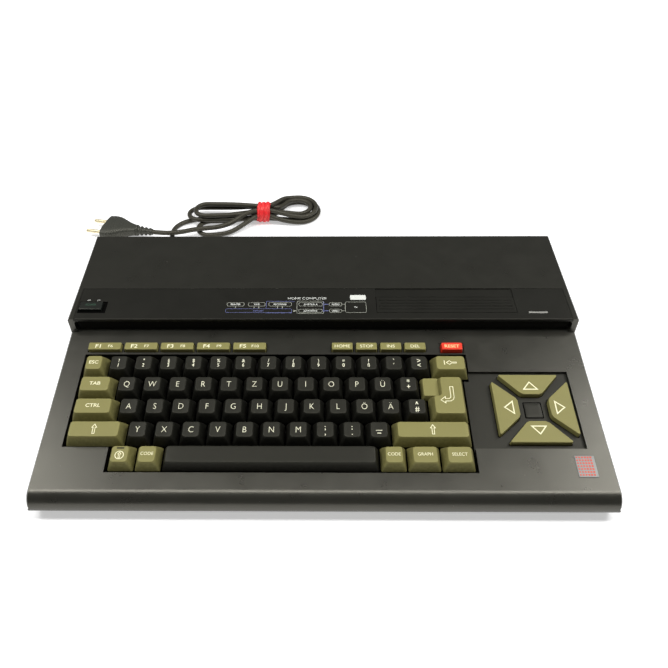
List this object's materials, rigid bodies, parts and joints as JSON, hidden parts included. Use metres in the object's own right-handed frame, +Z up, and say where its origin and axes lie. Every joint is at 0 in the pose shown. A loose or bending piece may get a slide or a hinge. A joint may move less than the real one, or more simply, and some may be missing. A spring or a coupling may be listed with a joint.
{
  "type": "vintage home computer",
  "caption": "Home computer with sloping keyboard, sunken arrow pad, raised rear deck with hinged slot flap and power button, rear sockets and a mains cord tied in a hank.",
  "frame": {"origin": "on the table under the middle of the case, without the mains cord", "axes": "+X to the right along the keyboard, +Y to the back, +Z up"},
  "size_m": [0.4546, 0.4125, 0.067],
  "materials": {
    "case_plastic": "moulded charcoal plastic, fine spark texture",
    "strip_plastic": "darker charcoal plastic, fine texture",
    "gloss_black": "smooth black",
    "rear_sheet": "flat dark sheet",
    "foot_rubber": "black rubber",
    "screw_steel": "zinc-plated screw",
    "plate_steel": "black painted steel",
    "switch_plastic": "black plastic",
    "circuit_board": "green board",
    "lamp_lens": "pale translucent lens",
    "transformer_iron": "varnished laminations",
    "screen_steel": "tinned steel",
    "socket_plastic": "black socket plastic",
    "cord_rubber": "dark soft cord sheath",
    "plug_plastic": "dark grey moulded plug with plated pins",
    "tie_red": "soft red band",
    "key_dark": "dark grey key caps with pale legends",
    "key_olive": "olive key caps with pale legends",
    "key_red": "orange-red key cap"
  },
  "bodies": {
    "case": {"lower_case": "case_plastic", "keyboard_surround": "case_plastic", "deck_cover": "case_plastic", "control_strip": "strip_plastic", "shadow_strip": "gloss_black", "rear_panel": "rear_sheet", "arrow_plate": "strip_plastic", "rubber_feet": "foot_rubber", "case_screws": "screw_steel", "key_plate": "plate_steel", "key_switches": "switch_plastic", "keyboard_board": "circuit_board", "power_switch": "switch_plastic", "power_lamp": "lamp_lens", "main_board": "circuit_board", "cartridge_connectors": "switch_plastic", "power_transformer": "transformer_iron", "rf_modulator": "screen_steel", "din_sockets": "socket_plastic", "printer_socket": "socket_plastic", "joystick_sockets": "socket_plastic", "strain_relief": "cord_rubber", "cord_lead": "cord_rubber", "cord_hank": "cord_rubber", "cord_tail": "cord_rubber", "mains_plug": "plug_plastic", "cord_tie": "tie_red"},
    "door": {"cartridge_door": "strip_plastic"},
    "power": {"power_button": "strip_plastic"},
    "number_row_keys_body": {"number_row_keys": "key_dark"},
    "upper_row_keys_body": {"upper_row_keys": "key_dark"},
    "home_row_keys_body": {"home_row_keys": "key_dark"},
    "lower_row_keys_body": {"lower_row_keys": "key_dark"},
    "escape_key_body": {"escape_key": "key_olive"},
    "backspace_key_body": {"backspace_key": "key_olive"},
    "tab_key_body": {"tab_key": "key_olive"},
    "control_key_body": {"control_key": "key_olive"},
    "shift_left_key_body": {"shift_left_key": "key_olive"},
    "shift_right_key_body": {"shift_right_key": "key_olive"},
    "caps_lock_key_body": {"caps_lock_key": "key_olive"},
    "code_left_key_body": {"code_left_key": "key_olive"},
    "space_bar_body": {"space_bar": "key_dark"},
    "code_right_key_body": {"code_right_key": "key_olive"},
    "graph_key_body": {"graph_key": "key_olive"},
    "select_key_body": {"select_key": "key_olive"},
    "return_key_body": {"return_key": "key_olive"},
    "function_key_1_body": {"function_key_1": "key_olive"},
    "function_key_2_body": {"function_key_2": "key_olive"},
    "function_key_3_body": {"function_key_3": "key_olive"},
    "function_key_4_body": {"function_key_4": "key_olive"},
    "function_key_5_body": {"function_key_5": "key_olive"},
    "home_key_body": {"home_key": "key_olive"},
    "stop_key_body": {"stop_key": "key_olive"},
    "insert_key_body": {"insert_key": "key_olive"},
    "delete_key_body": {"delete_key": "key_olive"},
    "reset_key_body": {"reset_key": "key_red"},
    "arrow_up_key_body": {"arrow_up_key": "key_olive"},
    "arrow_left_key_body": {"arrow_left_key": "key_olive"},
    "arrow_down_key_body": {"arrow_down_key": "key_olive"},
    "arrow_right_key_body": {"arrow_right_key": "key_olive"}
  },
  "joints": [
    {"name": "door_hinge", "type": "hinge", "parent": "case", "child": "door", "pos_m": [0.09956, 0.04367, 0.05866], "axis": [1, 0, 0], "range_deg": [0, 80], "stiffness_Nm_per_rad": 0.012, "springref_deg": -20.05},
    {"name": "power_press", "type": "slide", "parent": "case", "child": "power", "axis": [0, 0.0725, -0.9974], "range_m": [0, 0.003], "stiffness_N_per_m": 300, "springref_m": -0.002},
    {"name": "space_bar_press", "type": "slide", "parent": "case", "child": "space_bar_body", "axis": [0, 0.1676, -0.9859], "range_m": [0, 0.0038], "stiffness_N_per_m": 360, "springref_m": -0.003},
    {"name": "return_press", "type": "slide", "parent": "case", "child": "return_key_body", "axis": [0, 0.1676, -0.9859], "range_m": [0, 0.0038], "stiffness_N_per_m": 180, "springref_m": -0.003},
    {"name": "reset_press", "type": "slide", "parent": "case", "child": "reset_key_body", "axis": [0, 0.1676, -0.9859], "range_m": [0, 0.0019], "stiffness_N_per_m": 120, "springref_m": -0.003},
    {"name": "arrow_up_press", "type": "slide", "parent": "case", "child": "arrow_up_key_body", "axis": [0, 0.1676, -0.9859], "range_m": [0, 0.0018], "stiffness_N_per_m": 120, "springref_m": -0.003},
    {"name": "arrow_left_press", "type": "slide", "parent": "case", "child": "arrow_left_key_body", "axis": [0, 0.1676, -0.9859], "range_m": [0, 0.0018], "stiffness_N_per_m": 120, "springref_m": -0.003},
    {"name": "arrow_down_press", "type": "slide", "parent": "case", "child": "arrow_down_key_body", "axis": [0, 0.1676, -0.9859], "range_m": [0, 0.0018], "stiffness_N_per_m": 120, "springref_m": -0.003},
    {"name": "arrow_right_press", "type": "slide", "parent": "case", "child": "arrow_right_key_body", "axis": [0, 0.1676, -0.9859], "range_m": [0, 0.0018], "stiffness_N_per_m": 120, "springref_m": -0.003},
    {"name": "number_row_press", "type": "slide", "parent": "case", "child": "number_row_keys_body", "axis": [0, 0.1676, -0.9859], "range_m": [0, 0.0038], "stiffness_N_per_m": 1560, "springref_m": -0.003},
    {"name": "upper_row_press", "type": "slide", "parent": "case", "child": "upper_row_keys_body", "axis": [0, 0.1676, -0.9859], "range_m": [0, 0.0038], "stiffness_N_per_m": 1440, "springref_m": -0.003},
    {"name": "home_row_press", "type": "slide", "parent": "case", "child": "home_row_keys_body", "axis": [0, 0.1676, -0.9859], "range_m": [0, 0.0038], "stiffness_N_per_m": 1440, "springref_m": -0.003},
    {"name": "lower_row_press", "type": "slide", "parent": "case", "child": "lower_row_keys_body", "axis": [0, 0.1676, -0.9859], "range_m": [0, 0.0038], "stiffness_N_per_m": 1200, "springref_m": -0.003},
    {"name": "escape_press", "type": "slide", "parent": "case", "child": "escape_key_body", "axis": [0, 0.1676, -0.9859], "range_m": [0, 0.0038], "stiffness_N_per_m": 120, "springref_m": -0.003},
    {"name": "backspace_press", "type": "slide", "parent": "case", "child": "backspace_key_body", "axis": [0, 0.1676, -0.9859], "range_m": [0, 0.0038], "stiffness_N_per_m": 120, "springref_m": -0.003},
    {"name": "tab_press", "type": "slide", "parent": "case", "child": "tab_key_body", "axis": [0, 0.1676, -0.9859], "range_m": [0, 0.0038], "stiffness_N_per_m": 120, "springref_m": -0.003},
    {"name": "control_press", "type": "slide", "parent": "case", "child": "control_key_body", "axis": [0, 0.1676, -0.9859], "range_m": [0, 0.0038], "stiffness_N_per_m": 120, "springref_m": -0.003},
    {"name": "shift_left_press", "type": "slide", "parent": "case", "child": "shift_left_key_body", "axis": [0, 0.1676, -0.9859], "range_m": [0, 0.0038], "stiffness_N_per_m": 120, "springref_m": -0.003},
    {"name": "shift_right_press", "type": "slide", "parent": "case", "child": "shift_right_key_body", "axis": [0, 0.1676, -0.9859], "range_m": [0, 0.0038], "stiffness_N_per_m": 120, "springref_m": -0.003},
    {"name": "caps_lock_press", "type": "slide", "parent": "case", "child": "caps_lock_key_body", "axis": [0, 0.1676, -0.9859], "range_m": [0, 0.0038], "stiffness_N_per_m": 120, "springref_m": -0.003},
    {"name": "code_left_press", "type": "slide", "parent": "case", "child": "code_left_key_body", "axis": [0, 0.1676, -0.9859], "range_m": [0, 0.0038], "stiffness_N_per_m": 120, "springref_m": -0.003},
    {"name": "code_right_press", "type": "slide", "parent": "case", "child": "code_right_key_body", "axis": [0, 0.1676, -0.9859], "range_m": [0, 0.0038], "stiffness_N_per_m": 120, "springref_m": -0.003},
    {"name": "graph_press", "type": "slide", "parent": "case", "child": "graph_key_body", "axis": [0, 0.1676, -0.9859], "range_m": [0, 0.0038], "stiffness_N_per_m": 120, "springref_m": -0.003},
    {"name": "select_press", "type": "slide", "parent": "case", "child": "select_key_body", "axis": [0, 0.1676, -0.9859], "range_m": [0, 0.0038], "stiffness_N_per_m": 120, "springref_m": -0.003},
    {"name": "function_1_press", "type": "slide", "parent": "case", "child": "function_key_1_body", "axis": [0, 0.1676, -0.9859], "range_m": [0, 0.0019], "stiffness_N_per_m": 120, "springref_m": -0.003},
    {"name": "function_2_press", "type": "slide", "parent": "case", "child": "function_key_2_body", "axis": [0, 0.1676, -0.9859], "range_m": [0, 0.0019], "stiffness_N_per_m": 120, "springref_m": -0.003},
    {"name": "function_3_press", "type": "slide", "parent": "case", "child": "function_key_3_body", "axis": [0, 0.1676, -0.9859], "range_m": [0, 0.0019], "stiffness_N_per_m": 120, "springref_m": -0.003},
    {"name": "function_4_press", "type": "slide", "parent": "case", "child": "function_key_4_body", "axis": [0, 0.1676, -0.9859], "range_m": [0, 0.0019], "stiffness_N_per_m": 120, "springref_m": -0.003},
    {"name": "function_5_press", "type": "slide", "parent": "case", "child": "function_key_5_body", "axis": [0, 0.1676, -0.9859], "range_m": [0, 0.0019], "stiffness_N_per_m": 120, "springref_m": -0.003},
    {"name": "home_press", "type": "slide", "parent": "case", "child": "home_key_body", "axis": [0, 0.1676, -0.9859], "range_m": [0, 0.0019], "stiffness_N_per_m": 120, "springref_m": -0.003},
    {"name": "stop_press", "type": "slide", "parent": "case", "child": "stop_key_body", "axis": [0, 0.1676, -0.9859], "range_m": [0, 0.0019], "stiffness_N_per_m": 120, "springref_m": -0.003},
    {"name": "insert_press", "type": "slide", "parent": "case", "child": "insert_key_body", "axis": [0, 0.1676, -0.9859], "range_m": [0, 0.0019], "stiffness_N_per_m": 120, "springref_m": -0.003},
    {"name": "delete_press", "type": "slide", "parent": "case", "child": "delete_key_body", "axis": [0, 0.1676, -0.9859], "range_m": [0, 0.0019], "stiffness_N_per_m": 120, "springref_m": -0.003}
  ]
}
